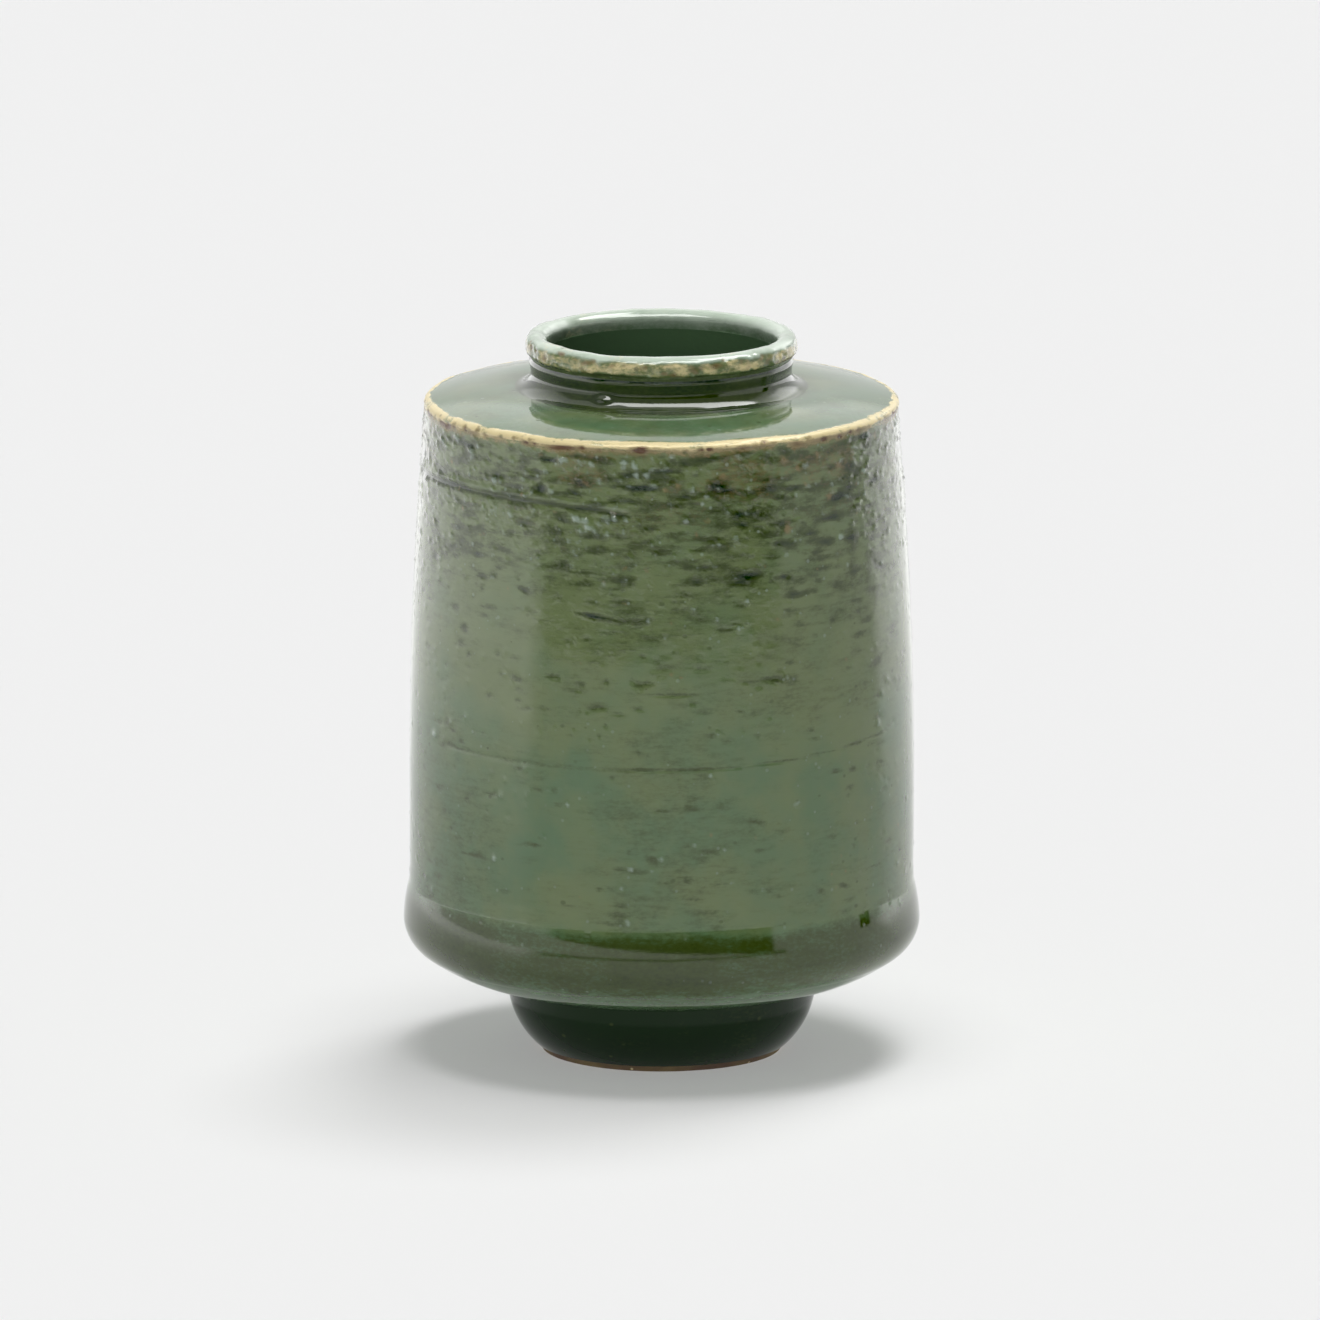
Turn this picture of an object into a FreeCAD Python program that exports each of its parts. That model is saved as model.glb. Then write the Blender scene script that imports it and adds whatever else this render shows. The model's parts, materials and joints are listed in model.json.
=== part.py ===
"""Bud vase in glazed stoneware: seven luted clay sections and the seven fields of glaze over them.

Millimetres, +Z up. The origin is the centre of the foot's resting face, and every section is
turned about Z. The driving sizes are in the sheet; each outline is a sketch bound to its cells.
"""

import FreeCAD, Part

import math
import os

import Sketcher

SIZES = {
    # upright sizes, from the top down
    "height": (90.0, "resting face to the top of the lip"),
    "lip_depth": (2.4, "depth of the rolled lip"),
    "collar_height": (6.7, "top of the lip above the root of the neck"),
    "shoulder_rise": (1.4, "root of the neck above the shoulder's edge"),
    "plate_depth": (3.6, "shoulder's edge above its seam with the wall"),
    # upright sizes, from the foot up
    "pinch_height": (23.5, "narrowing between the wall and the belly"),
    "belly_height": (16.6, "widest ring of the belly"),
    "turn_drop": (4.2, "belly's widest ring down to where it turns under"),
    "foot_height": (9.2, "foot, below the belly"),
    "foot_straight": (6.6, "where the foot begins to draw in"),
    "bare_rim": (0.8, "unglazed clay at the bottom of the foot"),
    "recess_height": (7.4, "trimmed recess inside the foot"),
    "floor_height": (12.6, "floor of the hollow, as clay"),
    "hollow_height": (17.6, "top of the round between the floor and the wall, inside"),
    # radii, over the glaze
    "waist_radius": (16.1, "neck at its waist"),
    "lip_overhang": (0.8, "lip beyond the waist"),
    "edge_radius": (29.3, "shoulder's edge"),
    "edge_flare": (0.15, "seam beyond the shoulder's edge"),
    "wall_flare": (1.9, "pinch beyond the shoulder's edge"),
    "belly_swell": (0.7, "belly beyond the pinch"),
    "turn_in": (2.5, "belly's widest ring in to where it turns under"),
    "foot_radius": (18.9, "foot at its top"),
    "foot_draw": (3.3, "foot's top in to its glaze line"),
    "rest_draw": (0.4, "glaze line in to the resting face"),
    # bows and rounds
    "wall_bow": (0.59, "rise of the wall's curve over its chord"),
    "belly_bow": (0.1, "rise of the curve from the pinch to the belly"),
    "turn_bow": (0.59, "rise of the curve that turns the belly under"),
    "under_bow": (0.85, "rise of the belly's underside"),
    "foot_bow": (0.55, "rise of the foot's curve"),
    "hollow_bow": (1.4, "rise of the round inside, at the floor"),
    "root_fillet": (1.8, "hollow at the root of the neck"),
    "edge_round": (0.9, "round on the shoulder's edge"),
    "lip_round": (1.0, "round on the clay of the lip"),
    "bore_chamfer": (0.5, "inner edge of the resting face"),
    # thicknesses
    "wall_clay": (3.4, "clay of the wall and belly"),
    "collar_clay": (1.3, "clay of the neck"),
    "ring_width": (5.6, "clay of the foot ring at its seam"),
    "floor_turn": (6.5, "round between the floor and the wall, inside"),
    "glaze": (0.4, "glaze outside and in the mouth"),
    "liner": (0.3, "glaze in the hollow"),
}

CONVEX, HOLLOW = 1, -1
FULL_TURN = 360
ROUND_SHARE = 0.48  # most of a wall's width that one rounded corner may take
TURN_SLOPE = (0.6, 0.8)  # direction from the turned-under belly into the clay


class Size:
    """A length as a number, together with its expression over the sheet's cells."""

    def __init__(self, value, text):
        self.value = value
        self.text = text

    def _join(self, sign, other, value):
        return Size(value, f"({self.text} {sign} {as_size(other).text})")

    def __add__(self, other):
        return self._join("+", other, self.value + as_size(other).value)

    def __sub__(self, other):
        return self._join("-", other, self.value - as_size(other).value)

    def __mul__(self, other):
        return self._join("*", other, self.value * as_size(other).value)

    def __truediv__(self, other):
        return self._join("/", other, self.value / as_size(other).value)


def as_size(number):
    """The number as a Size, if it isn't one already."""
    return number if isinstance(number, Size) else Size(float(number), repr(float(number)))


def smaller(first, second):
    """The smaller of two sizes."""
    return Size(min(first.value, second.value), f"min({first.text}; {second.text})")


def make_sheet(doc):
    """Write the driving sizes into the sheet and return each as a Size."""
    sheet = doc.addObject("Spreadsheet::Sheet", "Sizes")
    sizes = {}
    for row, (name, (value, note)) in enumerate(SIZES.items(), start=1):
        sheet.set(f"A{row}", note)
        sheet.set(f"B{row}", str(value))
        sheet.setAlias(f"B{row}", name)
        sizes[name] = Size(value, f"Sizes.{name}")
    doc.recompute()
    return sizes


class Corner:
    """A corner of an outline, and the edge that leaves it: straight, or an arc."""

    def __init__(self, radius, height, side=None, bow=None, round_to=None):
        self.radius = as_size(radius)
        self.height = as_size(height)
        self.side = side
        self.bow = bow
        self.round_to = round_to

    def arc_radius(self, end):
        """Radius of the arc to the next corner: as given, or from the rise over its chord."""
        if self.round_to is not None:
            return self.round_to
        across = end.radius - self.radius
        up = end.height - self.height
        chord_squared = across * across + up * up
        return chord_squared / (self.bow * 8) + self.bow / 2


def arc_between(start, end, radius, side):
    """The arc from one corner to the next, and which of its ends is the first corner."""
    x0, y0, x1, y1 = (c.value for c in (start.radius, start.height, end.radius, end.height))
    chord = math.hypot(x1 - x0, y1 - y0)
    reach = side * math.sqrt(max(radius * radius - chord * chord / 4, 0.0))
    centre_x = (x0 + x1) / 2 - reach * (y1 - y0) / chord
    centre_y = (y0 + y1) / 2 + reach * (x1 - x0) / chord
    angle_start = math.atan2(y0 - centre_y, x0 - centre_x)
    angle_end = math.atan2(y1 - centre_y, x1 - centre_x)
    if side == HOLLOW:
        angle_start, angle_end = angle_end, angle_start
    centre = FreeCAD.Vector(centre_x, centre_y, 0)
    circle = Part.Circle(centre, FreeCAD.Vector(0, 0, 1), radius)
    return Part.ArcOfCircle(circle, angle_start, angle_end), 1 if side == CONVEX else 2


def bind(sketch, constraint, name, size):
    """Add a constraint under a name, and bind it to its size's expression."""
    index = sketch.addConstraint(constraint)
    sketch.renameConstraint(index, name)
    sketch.setExpression(f"Constraints.{name}", size.text)


def pin_corner(sketch, number, corner, edge, end):
    """Hold one end of an edge at the corner's radius and height."""
    for kind, size, axis in (("DistanceX", corner.radius, -2), ("DistanceY", corner.height, -1)):
        if abs(size.value) < 1e-9:
            sketch.addConstraint(Sketcher.Constraint("PointOnObject", edge, end, axis))
        else:
            constraint = Sketcher.Constraint(kind, -1, 1, edge, end, size.value)
            bind(sketch, constraint, f"corner_{number}_{kind[-1].lower()}", size)


def draw_outline(sketch, corners):
    """Draw a closed outline, anticlockwise, and constrain it fully."""
    first_ends = []
    for number, corner in enumerate(corners):
        end = corners[(number + 1) % len(corners)]
        if corner.side is None:
            points = [FreeCAD.Vector(c.radius.value, c.height.value, 0) for c in (corner, end)]
            sketch.addGeometry(Part.LineSegment(*points))
            first_ends.append(1)
        else:
            radius = corner.arc_radius(end)
            arc, first_end = arc_between(corner, end, radius.value, corner.side)
            edge = sketch.addGeometry(arc)
            bind(sketch, Sketcher.Constraint("Radius", edge, radius.value), f"arc_{number}", radius)
            first_ends.append(first_end)
    for number, corner in enumerate(corners):
        before = number - 1 if number else len(corners) - 1
        last_end = 3 - first_ends[before]
        joined = Sketcher.Constraint("Coincident", before, last_end, number, first_ends[number])
        sketch.addConstraint(joined)
        pin_corner(sketch, number, corner, number, first_ends[number])


def turned(doc, name, corners):
    """A body turned about Z from one closed outline."""
    body = doc.addObject("PartDesign::Body", name)
    body.Label = name
    sketch = body.newObject("Sketcher::SketchObject", f"{name}_outline")
    plane = next(p for p in body.Origin.OriginFeatures if p.Role == "XZ_Plane")
    sketch.AttachmentSupport = (plane, "")
    sketch.MapMode = "FlatFace"
    draw_outline(sketch, corners)
    turn = body.newObject("PartDesign::Revolution", f"{name}_turn")
    turn.Profile = sketch
    turn.ReferenceAxis = (sketch, ["V_Axis"])
    turn.Angle = FULL_TURN
    body.Tip = turn
    body.Placement = FreeCAD.Placement()
    return body


def heights(s):
    """The heights that follow from the top of the vase."""
    lip = s["height"] - s["lip_depth"]
    root = s["height"] - s["collar_height"]
    edge = root - s["shoulder_rise"]
    return lip, root, edge, edge - s["plate_depth"]


def throat_radius(s):
    """Clay radius of the mouth."""
    return s["waist_radius"] - s["glaze"] - s["collar_clay"]


def foot_bore(s):
    """Radius inside the foot ring."""
    return s["foot_radius"] - s["glaze"] - s["ring_width"]


def wall_ring(s, depth):
    """The wall's outline at a depth under the glazed face: pinch, seam and shoulder edge."""
    _, _, edge, seam = heights(s)
    pinch_radius = s["edge_radius"] + s["wall_flare"] - depth
    seam_radius = s["edge_radius"] + s["edge_flare"] - depth
    pinch = (pinch_radius, s["pinch_height"])
    return pinch, (seam_radius, seam), (s["edge_radius"] - depth, edge - s["edge_round"])


def belly_ring(s, depth):
    """The belly's outline at a depth under the glazed face: foot, turn, widest ring and pinch."""
    belly_radius = s["edge_radius"] + s["wall_flare"] + s["belly_swell"]
    inwards, upwards = (as_size(depth) * slope for slope in TURN_SLOPE)
    turn = (
        belly_radius - s["turn_in"] - inwards,
        s["belly_height"] - s["turn_drop"] + upwards,
    )
    pinch, _, _ = wall_ring(s, depth)
    foot = (s["foot_radius"] - depth, s["foot_height"] + depth)
    return foot, turn, (belly_radius - depth, s["belly_height"]), pinch


def foot_ring_face(s, depth):
    """The foot's outline at a depth under the glazed face: glaze line and straight."""
    line = (s["foot_radius"] - s["foot_draw"] - depth, s["bare_rim"])
    return line, (s["foot_radius"] - depth, s["foot_straight"])


def hollow_wall(s, depth):
    """The hollow's outline at a depth inside the clay: floor, round, pinch and seam."""
    pinch, seam, _ = wall_ring(s, s["glaze"] + s["wall_clay"] + depth)
    floor_radius = pinch[0] - s["floor_turn"] + depth
    floor = (floor_radius, s["floor_height"] + depth)
    return floor, (pinch[0], s["hollow_height"]), pinch, (seam[0], seam[1] - depth)


def foot_ring(doc, s):
    """Clay ring that the vase stands on, trimmed hollow, with its resting edge left bare."""
    line, straight = foot_ring_face(s, s["glaze"])
    bore = foot_bore(s)
    top = s["foot_height"] + s["glaze"]
    return turned(doc, "foot_ring", [
        Corner(bore + s["bore_chamfer"], 0),
        Corner(line[0] - s["rest_draw"], 0),
        Corner(*line, CONVEX, bow=s["foot_bow"]),
        Corner(*straight),
        Corner(straight[0], top),
        Corner(bore, top),
        Corner(bore, s["bore_chamfer"]),
    ])


def base_floor(doc, s):
    """Clay disc that closes the bottom, inside the foot ring and the belly."""
    bore = foot_bore(s)
    return turned(doc, "base_floor", [
        Corner(0, s["recess_height"]),
        Corner(bore, s["recess_height"]),
        Corner(bore, s["floor_height"]),
        Corner(0, s["floor_height"]),
    ])


def belly_bowl(doc, s):
    """Clay bowl from the foot ring out to the belly and up to the pinch."""
    foot, turn, widest, pinch = belly_ring(s, s["glaze"])
    floor, round_top, inner_pinch, _ = hollow_wall(s, as_size(0))
    bore = foot_bore(s)
    return turned(doc, "belly_bowl", [
        Corner(bore, foot[1]),
        Corner(*foot, CONVEX, bow=s["under_bow"]),
        Corner(*turn, CONVEX, bow=s["turn_bow"]),
        Corner(*widest, CONVEX, bow=s["belly_bow"]),
        Corner(*pinch),
        Corner(*inner_pinch),
        Corner(*round_top, HOLLOW, bow=s["hollow_bow"]),
        Corner(*floor),
        Corner(bore, s["floor_height"]),
    ])


def body_wall(doc, s):
    """Tall clay wall, slightly bowed, from the pinch to the shoulder's seam."""
    pinch, seam, _ = wall_ring(s, s["glaze"])
    _, _, inner_pinch, inner_seam = hollow_wall(s, as_size(0))
    return turned(doc, "body_wall", [
        Corner(*pinch, CONVEX, bow=s["wall_bow"]),
        Corner(*seam),
        Corner(*inner_seam, HOLLOW, bow=s["wall_bow"]),
        Corner(*inner_pinch),
    ])


def shoulder_plate(doc, s):
    """Clay plate that closes the wall, rising a little to the seat of the neck."""
    _, seam, side = wall_ring(s, s["glaze"])
    _, root, edge, _ = heights(s)
    throat = throat_radius(s)
    seat = s["waist_radius"] + s["root_fillet"]
    return turned(doc, "shoulder_plate", [
        Corner(throat, seam[1]),
        Corner(*seam),
        Corner(*side, CONVEX, round_to=s["edge_round"] - s["glaze"]),
        Corner(s["edge_radius"] - s["edge_round"], edge - s["glaze"]),
        Corner(seat, root - s["glaze"]),
        Corner(throat, root - s["glaze"]),
    ])


def neck_collar(doc, s):
    """Short clay neck on the shoulder, with a hollow fillet at its root."""
    lip, root, _, _ = heights(s)
    throat = throat_radius(s)
    waist = s["waist_radius"]
    fillet = s["root_fillet"]
    return turned(doc, "neck_collar", [
        Corner(throat, root - s["glaze"]),
        Corner(waist + fillet, root - s["glaze"], HOLLOW, round_to=fillet + s["glaze"]),
        Corner(waist - s["glaze"], root + fillet),
        Corner(waist - s["glaze"], lip),
        Corner(throat, lip),
    ])


def lip_rounding(s):
    """Round of the lip's clay, no more than its width allows."""
    width = s["lip_overhang"] + s["collar_clay"]
    return smaller(s["lip_round"], width * ROUND_SHARE)


def lip_roll(doc, s):
    """Rolled clay lip that stands out beyond the neck."""
    lip, _, _, _ = heights(s)
    throat = throat_radius(s)
    outside = s["waist_radius"] + s["lip_overhang"] - s["glaze"]
    top = s["height"] - s["glaze"]
    corner_round = lip_rounding(s)
    return turned(doc, "lip_roll", [
        Corner(throat, lip),
        Corner(outside, lip),
        Corner(outside, top - corner_round, CONVEX, round_to=corner_round),
        Corner(outside - corner_round, top),
        Corner(throat + corner_round, top, CONVEX, round_to=corner_round),
        Corner(throat, top - corner_round),
    ])


def lip_glaze(doc, s):
    """Glaze over the lip and just inside the mouth, where it breaks pale."""
    lip, _, _, _ = heights(s)
    throat = throat_radius(s)
    coat = s["glaze"]
    outside = s["waist_radius"] + s["lip_overhang"]
    top = s["height"]
    inner_round = lip_rounding(s)
    outer_round = inner_round + coat
    return turned(doc, "lip_glaze", [
        Corner(outside - coat, lip),
        Corner(outside, lip),
        Corner(outside, top - outer_round, CONVEX, round_to=outer_round),
        Corner(outside - outer_round, top),
        Corner(throat + inner_round, top, CONVEX, round_to=outer_round),
        Corner(throat - coat, top - outer_round),
        Corner(throat - coat, lip),
        Corner(throat, lip),
        Corner(throat, top - outer_round, HOLLOW, round_to=inner_round),
        Corner(throat + inner_round, top - coat),
        Corner(outside - outer_round, top - coat, HOLLOW, round_to=inner_round),
        Corner(outside - coat, top - outer_round),
    ])


def neck_glaze(doc, s):
    """Glaze on the neck, pooled in the hollow at its root."""
    lip, root, _, _ = heights(s)
    waist = s["waist_radius"]
    fillet = s["root_fillet"]
    coat = s["glaze"]
    return turned(doc, "neck_glaze", [
        Corner(waist + fillet, root - coat),
        Corner(waist + fillet, root, HOLLOW, round_to=fillet),
        Corner(waist, root + fillet),
        Corner(waist, lip),
        Corner(waist - coat, lip),
        Corner(waist - coat, root + fillet, CONVEX, round_to=fillet + coat),
    ])


def shoulder_glaze(doc, s):
    """Glaze on the shoulder, from the root of the neck to the sharp outer edge."""
    _, _, side = wall_ring(s, as_size(0))
    _, root, edge, _ = heights(s)
    coat = s["glaze"]
    seat = s["waist_radius"] + s["root_fillet"]
    break_radius = s["edge_radius"] - s["edge_round"]
    inner_round = s["edge_round"] - coat
    return turned(doc, "shoulder_glaze", [
        Corner(side[0] - coat, side[1]),
        Corner(*side, CONVEX, round_to=s["edge_round"]),
        Corner(break_radius, edge),
        Corner(seat, root),
        Corner(seat, root - coat),
        Corner(break_radius, edge - coat, HOLLOW, round_to=inner_round),
    ])


def wall_glaze(doc, s):
    """Glaze on the wall, from the shoulder's edge to the pinch."""
    pinch, seam, side = wall_ring(s, as_size(0))
    inner_pinch, inner_seam, inner_side = wall_ring(s, s["glaze"])
    return turned(doc, "wall_glaze", [
        Corner(*pinch, CONVEX, bow=s["wall_bow"]),
        Corner(*seam),
        Corner(*side),
        Corner(*inner_side),
        Corner(*inner_seam, HOLLOW, bow=s["wall_bow"]),
        Corner(*inner_pinch),
    ])


def belly_glaze(doc, s):
    """Glaze on the belly, from the pinch down and under to the foot."""
    foot, turn, widest, pinch = belly_ring(s, as_size(0))
    inner_foot, inner_turn, inner_widest, inner_pinch = belly_ring(s, s["glaze"])
    return turned(doc, "belly_glaze", [
        Corner(*foot, CONVEX, bow=s["under_bow"]),
        Corner(*turn, CONVEX, bow=s["turn_bow"]),
        Corner(*widest, CONVEX, bow=s["belly_bow"]),
        Corner(*pinch),
        Corner(*inner_pinch, HOLLOW, bow=s["belly_bow"]),
        Corner(*inner_widest, HOLLOW, bow=s["turn_bow"]),
        Corner(*inner_turn, HOLLOW, bow=s["under_bow"]),
        Corner(*inner_foot),
    ])


def foot_glaze(doc, s):
    """Thick dark glaze on the foot, ending above the bare resting edge."""
    line, straight = foot_ring_face(s, as_size(0))
    inner_line, inner_straight = foot_ring_face(s, s["glaze"])
    top = s["foot_height"]
    return turned(doc, "foot_glaze", [
        Corner(*inner_line),
        Corner(*line, CONVEX, bow=s["foot_bow"]),
        Corner(*straight),
        Corner(s["foot_radius"], top),
        Corner(s["foot_radius"] - s["glaze"], top + s["glaze"]),
        Corner(*inner_straight, HOLLOW, bow=s["foot_bow"]),
    ])


def liner_glaze(doc, s):
    """Glaze that seals the hollow: throat, underside of the shoulder, wall and floor."""
    lip, _, _, _ = heights(s)
    throat = throat_radius(s)
    clay = hollow_wall(s, as_size(0))
    face = hollow_wall(s, s["liner"])
    mouth = throat - s["glaze"]
    return turned(doc, "liner_glaze", [
        Corner(0, s["floor_height"]),
        Corner(*clay[0], CONVEX, bow=s["hollow_bow"]),
        Corner(*clay[1]),
        Corner(*clay[2], CONVEX, bow=s["wall_bow"]),
        Corner(*clay[3]),
        Corner(throat, clay[3][1]),
        Corner(throat, lip),
        Corner(mouth, lip),
        Corner(mouth, face[3][1]),
        Corner(*face[3], HOLLOW, bow=s["wall_bow"]),
        Corner(*face[2]),
        Corner(*face[1], HOLLOW, bow=s["hollow_bow"]),
        Corner(*face[0]),
        Corner(0, face[0][1]),
    ])


PIECES = (
    foot_ring,
    base_floor,
    belly_bowl,
    body_wall,
    shoulder_plate,
    neck_collar,
    lip_roll,
    lip_glaze,
    neck_glaze,
    shoulder_glaze,
    wall_glaze,
    belly_glaze,
    foot_glaze,
    liner_glaze,
)


def check(doc, bodies):
    """Stop if any object failed, or any body has no sound single solid."""
    for item in doc.Objects:
        if {"Invalid", "Error"} & set(item.State):
            raise RuntimeError(f"{item.Name} failed: {item.State}")
    for body in bodies:
        shape = body.Shape
        if shape.isNull() or not shape.isValid() or len(shape.Solids) != 1:
            raise RuntimeError(f"{body.Label} has no sound single solid")


def main():
    """Build every piece and write it to the parts folder."""
    doc = FreeCAD.newDocument("BudVase")
    sizes = make_sheet(doc)
    bodies = [piece(doc, sizes) for piece in PIECES]
    doc.recompute()
    check(doc, bodies)
    os.makedirs("parts", exist_ok=True)
    for body in bodies:
        body.Shape.exportStep(f"parts/{body.Label}.step")
        box = body.Shape.BoundBox
        print(f"{body.Label}: {body.Shape.Volume:.1f} mm3, z {box.ZMin:.2f} to {box.ZMax:.2f}")


main()
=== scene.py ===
"""Glazed stoneware bud vase: the glaze, the clay and a plain studio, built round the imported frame.

The whole glazed face is worked as one grid, from inside the mouth over the lip, neck, shoulder,
wall and belly to the foot's glaze line, and each coat of glaze is a closed shell cut from it.
Lengths are metres in the scene and millimetres in the grid.
"""

import json
import math

import bpy
import numpy as np
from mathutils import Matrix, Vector


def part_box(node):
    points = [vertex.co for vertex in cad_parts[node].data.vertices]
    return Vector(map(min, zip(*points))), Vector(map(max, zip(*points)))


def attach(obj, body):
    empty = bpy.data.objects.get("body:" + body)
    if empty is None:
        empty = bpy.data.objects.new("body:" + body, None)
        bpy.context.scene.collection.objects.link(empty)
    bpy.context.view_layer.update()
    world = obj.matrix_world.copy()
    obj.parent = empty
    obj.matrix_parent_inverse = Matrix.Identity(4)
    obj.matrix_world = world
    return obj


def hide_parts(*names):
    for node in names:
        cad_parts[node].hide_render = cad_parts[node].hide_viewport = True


bl_info = {
    "name": "Glazed Bud Vase",
    "version": (1, 0, 0),
    "blender": (4, 5, 0),
    "location": "3D View > Sidebar > Bud Vase",
    "description": "Builds a thrown stoneware bud vase with a running green glaze",
    "category": "Add Mesh",
}

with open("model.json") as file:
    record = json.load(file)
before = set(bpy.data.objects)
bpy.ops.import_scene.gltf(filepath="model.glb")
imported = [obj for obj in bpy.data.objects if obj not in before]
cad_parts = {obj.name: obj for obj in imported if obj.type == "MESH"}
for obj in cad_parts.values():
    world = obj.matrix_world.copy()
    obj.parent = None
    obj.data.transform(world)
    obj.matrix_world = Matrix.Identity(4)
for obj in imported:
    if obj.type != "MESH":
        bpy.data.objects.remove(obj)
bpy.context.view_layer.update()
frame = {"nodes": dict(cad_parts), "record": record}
MM = 0.001
DEGREE = math.pi / 180

LIP, NECK, SHOULDER, WALL, BELLY, FOOT, LINER = (
    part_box(f"{part}_glaze")
    for part in ("lip", "neck", "shoulder", "wall", "belly", "foot", "liner")
)


class VaseSizes(bpy.types.PropertyGroup):
    """Sizes of the glazed vase."""

    columns: bpy.props.IntProperty(
        name="Columns",
        description="Points round the vase",
        default=480,
        min=48,
    )
    coat: bpy.props.FloatProperty(
        name="Coat",
        description="Thickness of the glaze on the clay",
        default=0.00038,
        unit="LENGTH",
    )
    throat: bpy.props.FloatProperty(
        name="Throat",
        description="Radius inside the mouth, over the glaze",
        default=frame["record"]["mounts"][1]["dims"]["r_mm"] * MM,
        unit="LENGTH",
    )
    waist: bpy.props.FloatProperty(
        name="Waist",
        description="Radius of the neck under the lip",
        default=NECK[1].x - 0.0018,
        unit="LENGTH",
    )
    lip_round: bpy.props.FloatProperty(
        name="Lip Round",
        description="Round on the lip, inside and outside",
        default=0.0014,
        unit="LENGTH",
    )
    edge_round: bpy.props.FloatProperty(
        name="Edge Round",
        description="Round on the shoulder's edge",
        default=0.0009,
        unit="LENGTH",
    )
    marks: bpy.props.IntProperty(
        name="Marks",
        description="Drag marks and grains scattered over the wall",
        default=3600,
        min=0,
    )
    studs: bpy.props.IntProperty(
        name="Studs",
        description="Pale lumps that crowd under the shoulder's edge",
        default=900,
        min=0,
    )


class VaseColours(bpy.types.PropertyGroup):
    """Colours of the glaze and the clay."""

    sage: bpy.props.FloatVectorProperty(
        name="Sage",
        description="Glaze where it lies thin and even",
        subtype="COLOR",
        default=(0.158, 0.208, 0.085),
    )
    teal: bpy.props.FloatVectorProperty(
        name="Teal",
        description="Cooler glaze, low on the wall and on the shoulder",
        subtype="COLOR",
        default=(0.098, 0.182, 0.088),
    )
    moss: bpy.props.FloatVectorProperty(
        name="Moss",
        description="Glaze a little thicker, in drags and runs",
        subtype="COLOR",
        default=(0.052, 0.076, 0.018),
    )
    # Bottle green also paints the shade down inside the hollow.
    bottle: bpy.props.FloatVectorProperty(
        name="Bottle Green",
        description="Glaze where it pools deep",
        subtype="COLOR",
        default=(0.010, 0.028, 0.009),
    )
    milk: bpy.props.FloatVectorProperty(
        name="Milk",
        description="Milky pale glaze on the lip",
        subtype="COLOR",
        default=(0.560, 0.660, 0.540),
    )
    frost: bpy.props.FloatVectorProperty(
        name="Frost",
        description="Cool pale grains that stand in the glaze",
        subtype="COLOR",
        default=(0.350, 0.440, 0.370),
    )
    # Cream also paints the highlight along the shoulder's edge.
    cream: bpy.props.FloatVectorProperty(
        name="Cream",
        description="Glaze that breaks thin over an edge",
        subtype="COLOR",
        default=(0.780, 0.660, 0.360),
    )
    ochre: bpy.props.FloatVectorProperty(
        name="Ochre",
        description="Warm clay that shows through beside a broken edge",
        subtype="COLOR",
        default=(0.250, 0.185, 0.080),
    )
    rust: bpy.props.FloatVectorProperty(
        name="Rust",
        description="Iron specks",
        subtype="COLOR",
        default=(0.110, 0.050, 0.020),
    )
    clay: bpy.props.FloatVectorProperty(
        name="Clay",
        description="Bare fired clay",
        subtype="COLOR",
        default=(0.150, 0.090, 0.055),
    )


class StageLook(bpy.types.PropertyGroup):
    """The camera, the lights and the floor."""

    distance: bpy.props.FloatProperty(
        name="Camera Distance",
        description="From the camera to the point it looks at",
        default=3.0,
        unit="LENGTH",
    )
    elevation: bpy.props.FloatProperty(
        name="Camera Elevation",
        description="How far the camera looks down",
        default=12.0 * DEGREE,
        unit="ROTATION",
    )
    side_step: bpy.props.FloatProperty(
        name="Side Step",
        description="How far the camera stands to the left",
        default=0.0002,
        unit="LENGTH",
    )
    aim: bpy.props.FloatProperty(
        name="Aim Height",
        description="Height on the axis that the camera looks at",
        default=0.0487,
        unit="LENGTH",
    )
    lens: bpy.props.FloatProperty(
        name="Lens",
        description="Focal length in millimetres",
        default=663.0,
        min=1.0,
    )
    floor: bpy.props.FloatVectorProperty(
        name="Floor",
        description="Colour of the plain floor",
        subtype="COLOR",
        default=(0.870, 0.870, 0.870),
    )
    skylight: bpy.props.FloatProperty(
        name="Skylight",
        description="Even light from all round",
        default=0.13,
    )
    key: bpy.props.FloatProperty(
        name="Key",
        description="Strength of the light from behind on the right",
        default=0.82,
    )
    overhead: bpy.props.FloatProperty(
        name="Overhead",
        description="Strength of the wide soft light overhead",
        default=0.96,
    )
    fill: bpy.props.FloatProperty(
        name="Fill",
        description="Strength of the light from the front that casts no shadow",
        default=1.15,
    )


# --- the thrown outline ---------------------------------------------------------------------


def along_arc(start, end, bow, steps):
    """Points after start to end, on an arc that rises by bow to the left of the way."""
    start, end = np.array(start, float), np.array(end, float)
    way = end - start
    left = np.array([-way[1], way[0]])
    share = np.arange(1, steps + 1) / steps
    if abs(bow) < 1e-9:
        return start + share[:, None] * way
    chord = np.hypot(*way)
    half_turn = 2 * math.atan(2 * abs(bow) / chord)
    radius = chord / (2 * math.sin(half_turn))
    swing = (2 * share - 1) * half_turn
    forward = 0.5 + radius * np.sin(swing) / chord
    rise = math.copysign(1, bow) * radius * (np.cos(swing) - math.cos(half_turn)) / chord
    return start + forward[:, None] * way + rise[:, None] * left


def quarter_bow(radius):
    """Rise of a quarter round over its chord."""
    return radius * (1 - math.cos(math.pi / 4))


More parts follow.
